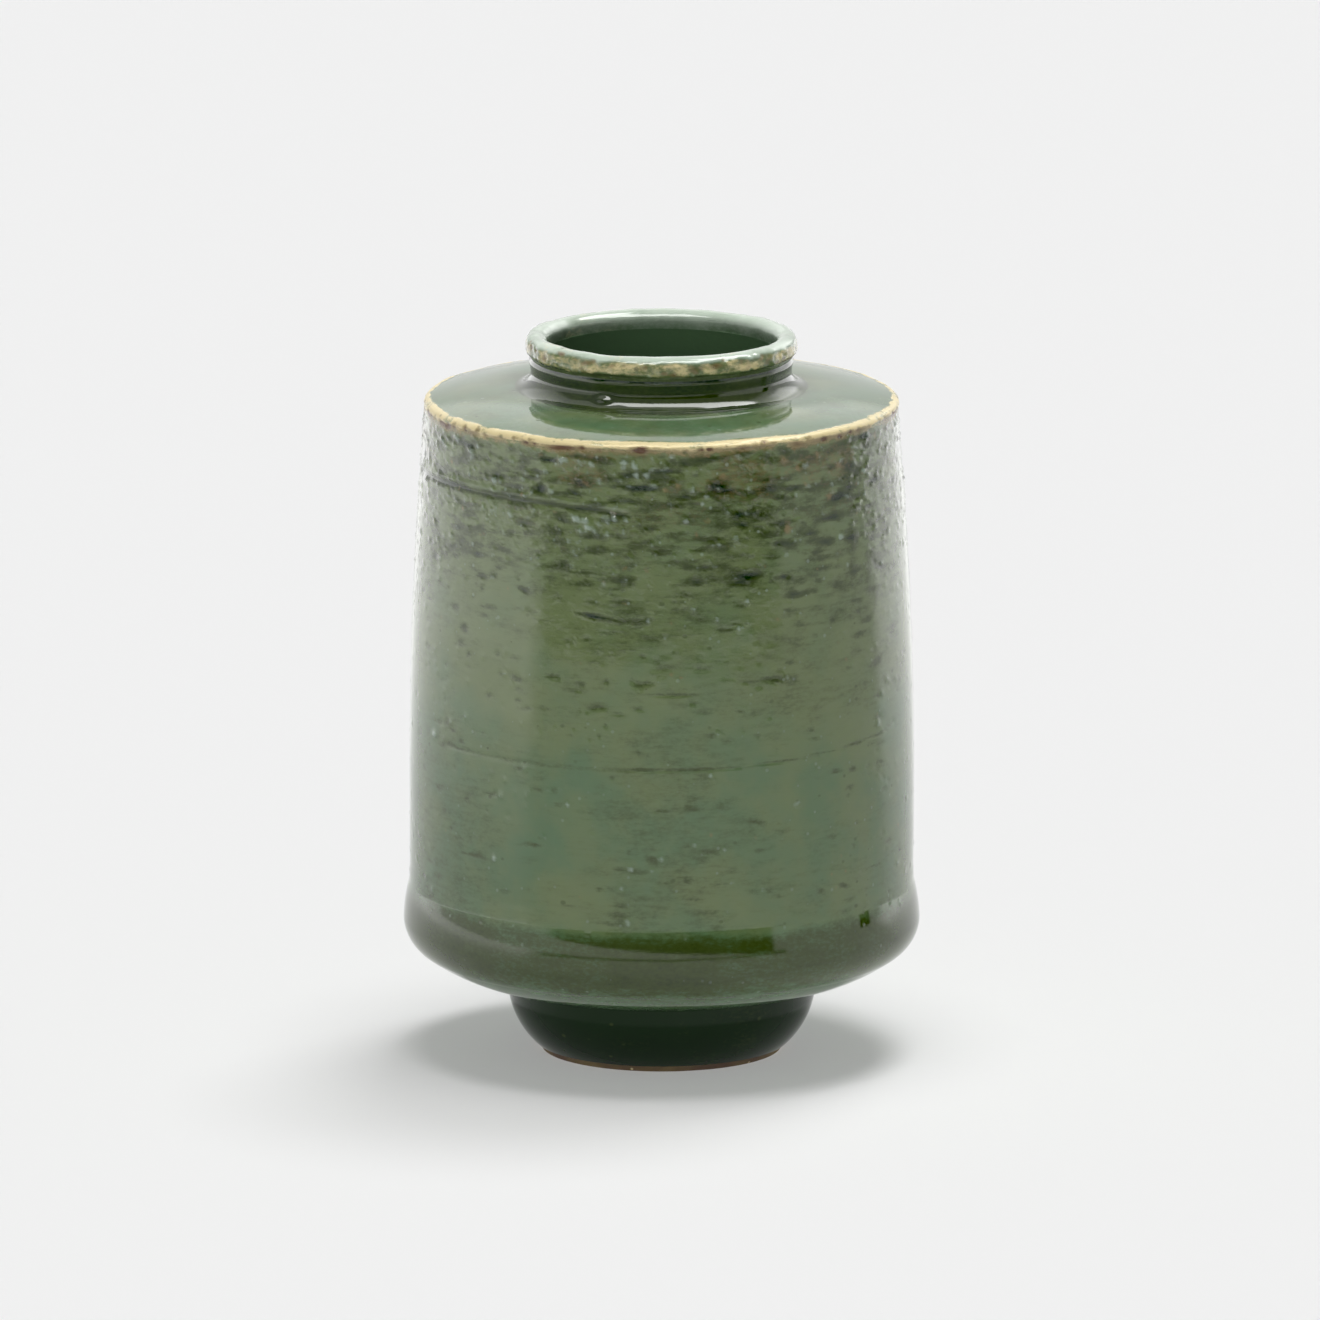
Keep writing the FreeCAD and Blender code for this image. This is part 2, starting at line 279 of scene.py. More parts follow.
def glazed_outline(sizes):
    """Outline of the glazed face in millimetres, and the rows that belong to each coat."""
    top, lip_base = LIP[1].z / MM, LIP[0].z / MM
    lip_radius = LIP[1].x / MM
    throat, waist = sizes.throat / MM, sizes.waist / MM
    lip_round, edge_round = sizes.lip_round / MM, sizes.edge_round / MM
    seat, root = NECK[1].x / MM, SHOULDER[1].z / MM
    fillet = seat - waist
    pooled = fillet * 1.1
    edge_radius, edge = SHOULDER[1].x / MM, SHOULDER[0].z / MM
    pinch_radius, pinch = 31.12, WALL[0].z / MM
    belly_radius, foot_top = BELLY[1].x / MM, BELLY[0].z / MM
    foot_radius, glaze_line = FOOT[1].x / MM, FOOT[0].z / MM
    parts = (
        ("lip", (
            (throat, top - lip_round, 0, 5),
            (throat + lip_round, top, quarter_bow(lip_round), 11),
            (lip_radius - lip_round, top, 0, 1),
            (lip_radius, top - lip_round, quarter_bow(lip_round), 11),
            (lip_radius, lip_base + 0.35, 0.02, 4),
            (lip_radius - 0.35, lip_base - 0.15, 0.10, 4),
            (waist + 0.24, lip_base - 0.75, -0.06, 4),
        )),
        ("neck", (
            (waist + 0.02, root + pooled, 0, 6),
            (waist + pooled + 0.05, root - 0.08, -quarter_bow(pooled), 20),
        )),
        ("shoulder", (
            (edge_radius - edge_round, edge + edge_round, 0.30, 40),
            (edge_radius, edge, quarter_bow(edge_round), 8),
        )),
        ("wall", (
            (29.45, 78.3, 0, 10),
            (pinch_radius, pinch, 0.61, 182),
        )),
        ("belly", (
            (31.16, 22.6, 0, 3),
            (31.20, 21.3, -0.008, 3),
            (31.44, 20.2, 0, 6),
            (belly_radius, 16.5, 0.088, 15),
            (29.4, 12.4, 0.64, 20),
            (foot_radius + 0.7, foot_top + 0.02, 0.80, 38),
        )),
        ("foot", (
            (foot_radius, foot_top - 0.7, -quarter_bow(0.7), 6),
            (foot_radius, 6.6, 0, 6),
            (foot_radius - 3.3, glaze_line, 0.55, 22),
        )),
    )
    points = [np.array([[throat, LINER[1].z / MM]])]
    rows, first = {}, 0
    for part, corners in parts:
        for radius, height, bow, steps in corners:
            points.append(along_arc(points[-1][-1], (radius, height), bow, steps))
        last = sum(len(p) for p in points) - 1
        rows[part] = (first, last)
        first = last
    return np.concatenate(points), rows


def ease(low, high, value):
    """0 below low, 1 above high, smooth between; low may be the greater."""
    share = np.clip((value - low) / (high - low), 0, 1)
    return share * share * (3 - 2 * share)


class GlazedFace:
    """The glazed face as a grid: rows run down the outline and columns run round the vase."""

    FIELDS = ("pool", "cool", "thin", "iron", "grain", "milk", "rough")

    def __init__(self, sizes):
        self.outline, self.rows = glazed_outline(sizes)
        self.radius, self.height = self.outline.T
        step = np.hypot(*np.diff(self.outline, axis=0).T)
        self.along = np.concatenate([[0], np.cumsum(step)])
        way = np.gradient(self.outline, self.along, axis=0)
        way /= np.hypot(*way.T)[:, None]
        self.out = np.stack([-way[:, 1], way[:, 0]], axis=1)
        self.columns = sizes.columns
        self.turn = (np.arange(self.columns) / self.columns * 2 - 1) * math.pi
        shape = (len(self.radius), self.columns)
        self.lift = np.zeros(shape)
        for field in self.FIELDS:
            setattr(self, field, np.zeros(shape))
        outside = self.rows["shoulder"][1]
        self._heights = self.height[outside:][::-1]
        self._alongs = self.along[outside:][::-1]

    def cloud(self, seed, around, down):
        """Smooth noise from -1 to 1, in cells of about around by down millimetres."""
        rng = np.random.default_rng(seed)
        mean_radius, fewest = 30, 4
        cells = max(fewest, round(2 * math.pi * mean_radius / around))
        levels = int(self.along[-1] / down) + 3
        knots = rng.uniform(-1, 1, (levels, cells))
        across = self._blend((self.turn / (2 * math.pi) + 0.5) * cells, cells, wrap=True)
        downward = self._blend(self.along / down, levels, wrap=False)
        return downward @ knots @ across.T

    @staticmethod
    def _blend(place, count, wrap):
        """Weights of the knots at each place."""
        base = np.floor(place).astype(int)
        part = place - base
        part = part * part * part * (part * (part * 6 - 15) + 10)
        weights = np.zeros((len(place), count))
        lines = np.arange(len(place))
        after = (base + 1) % count if wrap else base + 1
        weights[lines, base % count] += 1 - part
        weights[lines, after] += part
        return weights

    def below(self, above, last=None):
        """1 on the rows below one coat, as far as the end of another or of all; 0 elsewhere."""
        share = np.zeros((len(self.height), 1))
        end = self.rows[last][1] if last else None
        share[self.rows[above][1]:end] = 1
        return share

    def down_to(self, height):
        """Length down the outline to a height on the outside of the wall, belly or foot."""
        return np.interp(height, self._heights, self._alongs)

    def spot(self, turn, place, length, breadth, tilt, hard):
        """Window of the grid round a mark, and the mark's strength there, 1 at its middle."""
        reach = 1.6
        across_down = breadth + abs(tilt) * length
        top, end = np.searchsorted(self.along, (place - reach * across_down,
                                                place + reach * across_down))
        end = max(end, top + 1)
        radius = self.radius[min(top, len(self.radius) - 1)]
        half = int(reach * length / radius / (2 * math.pi) * self.columns) + 1
        middle = int(round((turn / (2 * math.pi) + 0.5) * self.columns))
        columns = np.arange(middle - half, middle + half + 1) % self.columns
        side = (self.turn[columns] - turn + math.pi) % (2 * math.pi) - math.pi
        across = side * radius
        drop = self.along[top:end, None] - place - tilt * across[None, :]
        far = (across[None, :] / length) ** 2 + (drop / breadth) ** 2
        return np.ix_(np.arange(top, end), columns), np.exp(-(far * 1.4) ** (hard / 2))

    def mark(self, turn, place, length, breadth, tilt=0.0, hard=2.0, **amounts):
        """Add a mark to the fields named: lift in millimetres, the others as shares."""
        window, strength = self.spot(turn, place, length, breadth, tilt, hard)
        for field, amount in amounts.items():
            getattr(self, field)[window] += amount * strength

    def positions(self):
        """Every point of the lifted face, in millimetres; the crest's lumps are kept level."""
        radius = self.radius[:, None] + self.lift * self.out[:, :1]
        height = self.height[:, None] + self.lift * self.out[:, 1:]
        lip_top, lumps, crest = LIP[1].z / MM, 0.12, 1.2
        height = height - lumps * ease(lip_top - crest, lip_top, height)
        return np.stack([
            radius * np.sin(self.turn),
            -radius * np.cos(self.turn),
            height,
        ], axis=-1)

    def normals(self, points):
        """Outward normals from the lifted points, smooth over the seams between coats."""
        downward = np.gradient(points, axis=0)
        across = np.roll(points, -1, axis=1) - np.roll(points, 1, axis=1)
        out = np.cross(downward, across)
        return out / np.linalg.norm(out, axis=-1, keepdims=True)


# --- what the fire and the wheel left on it -------------------------------------------------


def throw_rings(face):
    """Slow unevenness of hand throwing, and the glaze's own faint ripple."""
    face.lift += 0.07 * face.cloud(11, 70, 22)
    face.lift += 0.018 * face.cloud(12, 26, 5)
    face.lift += 0.006 * face.cloud(13, 5, 3.2)


def thick_and_thin(face):
    """Slow clouds of thicker and thinner glaze."""
    return 0.45 * face.cloud(21, 16, 11) + 0.3 * face.cloud(22, 7, 5) + 0.35 * face.cloud(23, 3, 2)


def pool_down_wall(face):
    """Green that cools down the wall, and pools in a belt on the belly and on the foot; the foot's dark
    is partly pooled glaze and partly painted shade under the belly.
    """
    height, wall = face.height[:, None], face.below("shoulder")
    face.pool += wall * (0.20 + 0.17 * thick_and_thin(face))
    face.cool += wall * (0.12 + 0.42 * ease(62, 34, height) + 0.15 * face.cloud(20, 12, 9))
    deep = ease(21.5, 19.2, height + 0.3 * face.cloud(24, 14, 8))
    face.pool += wall * deep * 0.42
    face.cool += wall * (deep * 0.52 + 0.3 * ease(15.0, 12.0, height))
    face.pool -= wall * 0.30 * ease(15.0, 11.5, height) * ease(8.9, 9.4, height)
    # Darkest glaze on the foot: partly thick pooled glaze, partly painted shade under the belly's
    # overhang.
    face.pool += wall * 0.50 * ease(9.4, 8.7, height)


def roughen_top(face):
    """The top of the wall is coarser: streaks, dark and pale patches, browns and lumps."""
    height = face.height[:, None] + 2.5 * face.cloud(30, 20, 12)
    rough = ease(50, 76, height) * face.below("shoulder")
    face.rough += rough
    streaks = ease(0.1, 0.9, face.cloud(25, 3.0, 0.7) + 0.45 * face.cloud(26, 12, 6))
    face.pool += rough * (0.03 + streaks * 0.26)
    patches = 0.6 * face.cloud(27, 4.5, 2.2) + 0.5 * face.cloud(33, 2.0, 1.1)
    face.pool += rough * 0.20 * ease(-0.2, 0.7, patches)
    face.pool -= rough * 0.12 * ease(0.1, 0.8, -patches)
    browns = face.cloud(28, 7, 3) + 0.4 * face.cloud(34, 1.6, 0.9)
    near_edge = ease(71, 79, face.height[:, None])
    face.iron += rough * (0.30 * ease(0.0, 0.8, browns) + 0.20 * near_edge)
    face.milk += rough * 0.12 * ease(0.2, 0.9, face.cloud(29, 1.5, 0.8) + 0.4 * face.cloud(35, 9, 5))
    lumps = face.cloud(36, 1.5, 0.9) + 0.7 * face.cloud(37, 3.0, 1.3)
    face.lift += rough * (0.019 * lumps - 0.13)


def pool_at_neck(face):
    """The shoulder is cool and a little milky, and the neck is dark."""
    shoulder, neck = face.below("neck", "shoulder"), face.below("lip", "neck")
    root = ease(21, 17.6, face.radius[:, None])
    face.pool += shoulder * (0.24 + 0.16 * thick_and_thin(face) + 0.12 * root)
    face.cool += shoulder * (0.62 + 0.25 * face.cloud(19, 8, 3))
    face.milk += shoulder * (0.10 + 0.10 * face.cloud(31, 9, 4)) * (1 - 0.3 * root)
    face.pool += neck * (0.79 + 0.14 * face.cloud(32, 9, 2))
    face.cool += neck * 0.2


def break_lip(face):
    """The lip: milky on top, beige and pitted on its bead, with a ragged lower margin, painted shade
    under the bead and a pale painted reflection at the top of the neck.
    """
    last = face.rows["lip"][1]
    rows = slice(0, last + 1)
    along = face.along[rows, None]
    crest = face.along[np.argmax(face.height)]
    outside = ease(crest + 1.0, crest + 2.0, along + 0.25 * face.cloud(41, 4, 3)[rows])
    ragged = 0.34 * face.cloud(42, 3.2, 30)[rows] + 0.18 * face.cloud(43, 1.3, 30)[rows]
    end_of_bead = face.along[last] - 1.05 + ragged
    bead = outside * ease(end_of_bead + 0.35, end_of_bead - 0.1, along)
    # Below the bead: darker green as painted shade under the lip, and a little milky.
    below = ease(end_of_bead - 0.1, end_of_bead + 0.4, along)
    face.milk[rows] += 0.86 * (1 - outside) + 0.04 * bead + 0.12 * below
    face.thin[rows] += 0.66 * bead * (0.75 + 0.5 * face.cloud(44, 3, 1.2)[rows])
    face.iron[rows] += 0.60 * bead * ease(-0.2, 0.8, face.cloud(45, 1.8, 0.9)[rows])
    face.rough[rows] += 0.9 * bead
    inner = ease(crest - 1.4, crest - 3.2, along)
    # The pool below the bead is painted shade under the lip.
    face.pool[rows] += 0.08 * inner + 0.50 * below
    face.cool[rows] += 0.8 * (1 - outside)
    face.milk[rows] -= 0.52 * inner
    warm_top = ease(0.0, 0.8, face.cloud(38, 7, 3)[rows]) * (1 - outside)
    face.thin[rows] += 0.30 * warm_top
    face.milk[rows] *= 1 + 0.25 * face.cloud(39, 5, 2)[rows]
    face.lift[rows] += 0.10 * bead * (face.cloud(46, 3.0, 1.6)[rows] - 0.3)
    face.lift[rows] += 0.05 * bead * face.cloud(40, 1.0, 0.7)[rows] - 0.12 * outside
    face.lift[rows] += 0.09 * face.cloud(47, 9, 30)[rows] + 0.05 * face.cloud(48, 3.4, 2)[rows]
    neck_first, neck_last = face.rows["neck"]
    after = slice(neck_first + 1, neck_last + 1)
    # The top of the neck just under the lip is paler and less pooled: a painted reflection of a white
    # band.
    fade = ease(face.along[last] + 0.7, face.along[last], face.along[after, None])
    face.milk[after] += 0.20 * fade
    face.pool[after] -= 0.30 * fade
    bead_place = face.along[neck_last] - 2.2
    face.mark(-26 * DEGREE, bead_place, 1.2, 0.65, lift=0.36)
    rng = np.random.default_rng(49)
    for _ in range(150):
        turn = rng.uniform(-math.pi, math.pi)
        place = rng.uniform(crest + 1.2, face.along[last] - 0.9)
        size = rng.uniform(0.25, 0.6)
        if rng.random() < 0.5:
            face.mark(turn, place, size * 1.3, size, lift=-0.10, iron=0.8, thin=-0.2)
        else:
            face.mark(turn, place, size, size, lift=0.10, milk=0.3)


def break_edge(face):
    """The shoulder's edge: a bright cream line, where the glaze breaks thin and which is also a painted
    highlight along the edge, then a band of ochre with brown dots.
    """
    last = face.rows["shoulder"][1]
    edge = face.along[last] - 0.75
    wander = 0.24 * face.cloud(51, 5, 30) + 0.16 * face.cloud(52, 1.6, 30)
    place = face.along[:, None] + wander
    # Cream line: thin glaze over the edge, and also a painted highlight along it.
    line = ease(edge - 1.0, edge - 0.5, place) * ease(edge + 0.85, edge + 0.45, place)
    band = ease(edge + 0.2, edge + 0.6, place) * ease(edge + 1.75, edge + 0.85, place)
    face.thin += line * (1.0 + 0.5 * face.cloud(53, 1.5, 2))
    face.thin += 0.40 * band
    face.iron += band * (0.62 + 0.5 * face.cloud(54, 1.9, 1.0))
    face.rough += 0.8 * (line + band).clip(0, 1)
    face.pool -= (line + band).clip(0, 1) * 0.25
    face.lift += 0.10 * line * face.cloud(55, 3.5, 30) + 0.05 * band * face.cloud(56, 1.2, 0.8)
    rng = np.random.default_rng(57)
    for _ in range(190):
        turn = rng.uniform(-math.pi, math.pi)
        place = edge + rng.normal(0.35, 0.45)
        size = rng.uniform(0.2, 0.42)
        face.mark(turn, place, size * 1.2, size, lift=-0.06, iron=rng.uniform(0.4, 1.0), thin=-0.2)


def drag(face, turn, height, length, breadth, deep, grain, tilt):
    """A drag mark: a soft dark dash, with the pale grain that made it at its right end."""
    place = face.down_to(height)
    face.mark(turn, place, length / 2, breadth / 2, tilt, 2.6, pool=deep, lift=-0.09 * deep)
    if grain > 0:
        radius = np.interp(place, face.along, face.radius)
        end = turn + 0.62 * length / radius
        size = 0.34 + 0.12 * grain
        face.mark(end, place - 0.1, size, size, grain=grain, lift=0.13 * grain)


def scatter_marks(face, count):
    """Drag marks, pits and grains all round the wall, thick under the shoulder's edge."""
    rng = np.random.default_rng(61)
    for _ in range(count):
        turn = rng.uniform(-math.pi, math.pi)
        upper = rng.random() < 0.62
        height = 80.4 - abs(rng.normal(0, 11.5)) if upper else rng.uniform(20.5, 70)
        if height < 20:
            continue
        rough = ease(52, 78, height)
        kind = rng.random()
        place = face.down_to(height)
        if kind < 0.34:
            length = rng.uniform(1.3, 3.8) * (0.8 + 1.0 * rng.random() * rough)
            drag(face, turn, height, length, rng.uniform(0.5, 1.15),
                 rng.uniform(0.14, 0.42) * (0.75 + 0.35 * rough),
                 rng.uniform(0.2, 0.7) if rng.random() < 0.4 else 0,
                 rng.uniform(-0.06, 0.06))
        elif kind < 0.52:
            size = rng.uniform(0.22, 0.5)
            face.mark(turn, place, size, size * 0.9,
                      lift=-0.06 * (0.8 + 0.4 * rough), pool=rng.uniform(0.10, 0.32))
        elif kind < 0.95:
            size = rng.uniform(0.24, 0.5)
            frost = rng.uniform(0.1, 0.6) * (0.45 + 0.45 * rough)
            face.mark(turn, place, size, size * 0.85, grain=frost,
                      lift=rng.uniform(0.05, 0.16) * (0.4 + 0.7 * rough))
        else:
            size = rng.uniform(0.25, 0.5)
            face.mark(turn, place, size, size, iron=0.7)


def follow(face, points, breadth, **amounts):
    """A thin line drawn through (degrees, height) points, as overlapping short marks."""
    turns, heights = np.array(points, float).T
    wall_radius, spacing, half_length = 31, 0.45, 0.62
    steps = int((turns[-1] - turns[0]) * DEGREE * wall_radius / spacing)
    spots = np.linspace(turns[0], turns[-1], steps)
    for turn, height in zip(spots, np.interp(spots, turns, heights)):
        face.mark(turn * DEGREE, face.down_to(height), half_length, breadth, **amounts)


def crowd(face, rng, count, degrees, height, spread, size, lift, palest):
    """Pale grains crowded about one height, between two turns."""
    for _ in range(count):
        turn = rng.uniform(*degrees) * DEGREE
        place = face.down_to(rng.normal(height, spread))
        face.mark(turn, place, size, size, lift=lift, grain=rng.uniform(0.1, palest))


def place_marks(face):
    """The marks that give this vase its own face, from the top of the wall down."""
    groove = ((-84, 73.4), (-60, 73.9), (-30, 73.8), (-14, 73.3), (-8, 72.9))
    follow(face, groove, 0.36, lift=-0.13, pool=0.26)
    follow(face, tuple((t, h + 0.62) for t, h in groove), 0.34, lift=0.07, milk=0.10)
    follow(face, ((-57, 41.5), (-27, 41.4), (0, 41.5), (24, 41.8), (42, 42.2), (62, 43.0)),
           0.17, lift=-0.035, pool=0.17)
    follow(face, ((52, 26.2), (60, 26.8), (70, 27.9)), 0.16, lift=-0.02, pool=0.10)
    drags = (
        # degrees, height, length, breadth, depth, grain, tilt
        (-15.5, 60.3, 6.2, 0.75, 0.75, 0.0, 0.13),
        (-34, 62.9, 2.2, 0.9, 0.70, 0.0, 0.25),
        (-43, 60.0, 2.3, 0.8, 0.40, 0.0, 0.0),
        (-52, 56.7, 1.9, 1.3, 0.60, 0.0, 0.0),
        (-56, 59.0, 2.4, 1.2, 0.35, 0.2, 0.0),
        (-6, 76.3, 4.0, 1.1, 0.42, 0.0, 0.0),
        (14, 77.0, 3.4, 1.5, 0.60, 0.0, 0.0),
        (11.5, 70.0, 5.2, 0.8, 0.60, 0.6, 0.0),
        (19.5, 65.2, 5.0, 1.5, 0.55, 0.0, 0.0),
        (0, 68.5, 3.6, 1.2, 0.42, 0.4, 0.0),
        (6, 66.6, 2.0, 0.9, 0.35, 0.5, 0.0),
        (35, 62.3, 5.0, 0.8, 0.40, 0.0, -0.06),
        (-18, 65.7, 6.0, 0.6, 0.40, 0.5, 0.0),
        (59, 52.0, 3.6, 1.2, 0.42, 0.0, -0.28),
        (-47.6, 28.7, 5.6, 0.4, 0.40, 0.9, 0.0),
        (-30.3, 31.3, 3.2, 0.7, 0.38, 0.3, 0.0),
        (-9.3, 29.0, 2.0, 0.7, 0.35, 0.9, 0.0),
        (-2.2, 30.3, 1.8, 1.2, 0.45, 0.8, 0.2),
        (-11.7, 22.2, 3.6, 0.5, 0.25, 0.8, 0.0),
        (18.1, 48.5, 1.3, 0.5, 0.30, 0.2, 0.0),
        (36.1, 45.3, 1.5, 0.6, 0.30, 0.2, 0.0),
        (43.2, 39.6, 2.6, 0.6, 0.30, 0.3, 0.0),
        (45.6, 25.1, 2.0, 0.7, 0.35, 0.2, 0.2),
        (21.2, 34.7, 1.8, 0.5, 0.30, 0.2, 0.0),
        (10.7, 23.6, 3.8, 0.5, 0.24, 0.4, 0.0),
        (7.5, 25.3, 2.3, 0.5, 0.24, 0.3, 0.0),
        (-58, 44.5, 1.2, 1.0, 0.30, 0.6, 0.0),
        (-50, 35.5, 1.2, 0.8, 0.30, 0.3, 0.0),
        (-22, 24.0, 2.4, 0.4, 0.26, 0.3, 0.0),
        (3, 50.9, 7.5, 0.3, 0.32, 0.0, 0.0),
        (-5, 49.2, 1.8, 0.6, 0.32, 0.0, 0.0),
        (24, 52.3, 6.0, 0.45, 0.30, 0.0, -0.05),
    )
    for turn, height, length, breadth, deep, grain, tilt in drags:
        drag(face, turn * DEGREE, height, length, breadth, deep, grain, tilt)
    hole = face.down_to(75.6)
    face.mark(-30 * DEGREE, hole, 0.9, 0.8, lift=-0.2, pool=0.85, hard=3)
    face.mark(-27 * DEGREE, hole + 0.3, 0.4, 0.4, lift=0.1, grain=0.5)
    face.mark(31 * DEGREE, face.down_to(70.5), 0.65, 0.9, iron=1.0)
    face.mark(32.2 * DEGREE, face.down_to(36.3), 0.8, 0.8, grain=0.45)
    face.mark(-64 * DEGREE, face.down_to(42.3), 0.7, 0.5, grain=1.0, lift=0.12)
    run_top, run_end = 80.0, 62.7
    for height in np.arange(run_end, run_top, 0.5):
        wide = 0.8 + 0.5 * math.sin(height * 0.9) + 0.3 * ease(70, 80, height)
        face.mark(51 * DEGREE, face.down_to(height), wide, 0.6, pool=0.10, iron=0.02, lift=0.02)
    face.mark(51 * DEGREE, face.down_to(68.2), 1.5, 1.1, pool=0.5, iron=0.2, lift=0.08)
    rng = np.random.default_rng(71)
    crowd(face, rng, 46, (-26, 2), 79.0, 0.6, 0.36, lift=0.13, palest=0.6)
    crowd(face, rng, 40, (-21, -9), 71.8, 1.0, 0.36, lift=0.15, palest=0.6)
    crowd(face, rng, 60, (-64, -20), 72.0, 0.5, 0.34, lift=0.10, palest=0.55)


def stud_top(face, count):
    """Small pale lumps that crowd under the shoulder's edge."""
    rng = np.random.default_rng(81)
    for _ in range(count):
        turn = rng.uniform(-math.pi, math.pi)
        place = face.down_to(80.3 - abs(rng.normal(0, 6.0)))
        size = rng.uniform(0.24, 0.4)
        frost = rng.uniform(0.0, 0.42)
        face.mark(turn, place, size, size * 0.9, lift=rng.uniform(0.05, 0.12), grain=frost)
        face.mark(turn, place + 0.4, size * 1.2, 0.22, lift=-0.03, pool=0.18)


KEPT = {}


def glazed_face():
    """The finished face, worked once and shared by every coat."""
    if "face" not in KEPT:
        sizes = bpy.context.scene.vase_sizes
        face = GlazedFace(sizes)
        throw_rings(face)
        pool_down_wall(face)
        roughen_top(face)
        pool_at_neck(face)
        break_lip(face)
        break_edge(face)
        scatter_marks(face, sizes.marks)
        place_marks(face)
        stud_top(face, sizes.studs)
        np.clip(face.lift, -0.26, 0.45, out=face.lift)
        points = face.positions()
        KEPT["face"] = face, points, face.normals(points)
    return KEPT["face"]


# --- meshes ---------------------------------------------------------------------------------


def ring_quads(upper, lower, columns):
    """Quads between two rings of points, facing outward when lower lies further down."""
    here = np.arange(columns)
    beside = (here + 1) % columns
    return np.stack([upper + here, lower + here, lower + beside, upper + beside], axis=1)


def ring_uvs(top, bottom, columns):
    """Corners of those quads on the unrolled sheet."""
    left = np.arange(columns) / columns
    right = (np.arange(columns) + 1) / columns
    low, high = np.full(columns, bottom), np.full(columns, top)
    return np.stack([
        np.stack([left, high], 1),
        np.stack([left, low], 1),
        np.stack([right, low], 1),
        np.stack([right, high], 1),
    ], axis=1)


def mesh_from_rings(name, points, rings, normals, fields):
    """A mesh of quads between rings; rings holds (upper, lower, uv top, uv bottom, smooth)."""
    columns = points.shape[1]
    quads, uvs, ways = [], [], []
    flat = points.reshape(-1, 3)
    for upper, lower, top, bottom, smooth in rings:
        quad = ring_quads(upper * columns, lower * columns, columns)
        quads.append(quad)
        uvs.append(ring_uvs(top, bottom, columns))
        if smooth:
            ways.append(normals.reshape(-1, 3)[quad])
        else:
            corners = flat[quad]
            way = np.cross(corners[:, 2] - corners[:, 0], corners[:, 3] - corners[:, 1])
            length = np.linalg.norm(way, axis=1, keepdims=True)
            way = way / np.maximum(length, 1e-12)
            ways.append(np.repeat(way[:, None, :], 4, axis=1))
    quads = np.concatenate(quads)
    mesh = bpy.data.meshes.new(name)
    mesh.vertices.add(len(flat))
    mesh.vertices.foreach_set("co", (flat * MM).ravel())
    mesh.loops.add(quads.size)
    mesh.loops.foreach_set("vertex_index", quads.ravel())
    mesh.polygons.add(len(quads))
    mesh.polygons.foreach_set("loop_start", np.arange(0, quads.size, 4))
    mesh.polygons.foreach_set("use_smooth", np.ones(len(quads), bool))
    mesh.update(calc_edges=True)
    sheet = mesh.uv_layers.new(name="OFBake")
    sheet.data.foreach_set("uv", np.concatenate(uvs).ravel())
    for field, values in fields.items():
        mesh.attributes.new(field, "FLOAT", "POINT").data.foreach_set("value", values.ravel())
    mesh.normals_split_custom_set(np.concatenate(ways).reshape(-1, 3).tolist())
    thing = bpy.data.objects.new(name, mesh)
    bpy.context.scene.collection.objects.link(thing)
    return thing


SKIN_TOP, SKIN_END, RIM_TOP, RIM_END, BACK_TOP, BACK_END = 1.0, 0.12, 0.11, 0.08, 0.07, 0.0


def coat(part, every):
    """One coat of glaze: its lifted face, its two rims, and the face that lies on the clay.

    The face on the clay is plain, so it keeps only one row in every few.
    """
    face, points, normals = glazed_face()
    first, last = face.rows[part]
    depth = bpy.context.scene.vase_sizes.coat / MM
    chosen = np.unique(np.append(np.arange(first, last, every), last))
    back_radius = face.radius[chosen] - depth * face.out[chosen, 0]
    back_height = face.height[chosen] - depth * face.out[chosen, 1]
    back = np.stack([
        back_radius[:, None] * np.sin(face.turn),
        -back_radius[:, None] * np.cos(face.turn),
        np.repeat(back_height[:, None], face.columns, axis=1),
    ], axis=-1)
    front = points[first:last + 1]
    count, backs = len(front), len(back)
    everything = np.concatenate([front, back])
    ways = np.concatenate([normals[first:last + 1], np.zeros_like(back)])
    levels = np.linspace(SKIN_TOP, SKIN_END, count)
    rings = [(i, i + 1, levels[i], levels[i + 1], True) for i in range(count - 1)]
    middle = (RIM_TOP + RIM_END) / 2
    rings.append((count, 0, RIM_TOP, middle + 0.002, False))
    rings.append((count - 1, count + backs - 1, middle - 0.002, RIM_END, False))
    levels = np.linspace(BACK_TOP, BACK_END, backs)
    for i in range(backs - 1):
        rings.append((count + i + 1, count + i, levels[i], levels[i + 1], False))
    fields = {}
    for field in face.FIELDS:
        values = getattr(face, field)
        fields[field] = np.concatenate([values[first:last + 1], values[chosen]])
    return mesh_from_rings(f"{part}_coat", everything, rings, ways, fields)


def finish_piece(piece, nodes, material):
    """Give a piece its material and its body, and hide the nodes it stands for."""
    piece.data.materials.append(material)
    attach(piece, "root")
    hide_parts(*nodes)


# --- materials ------------------------------------------------------------------------------


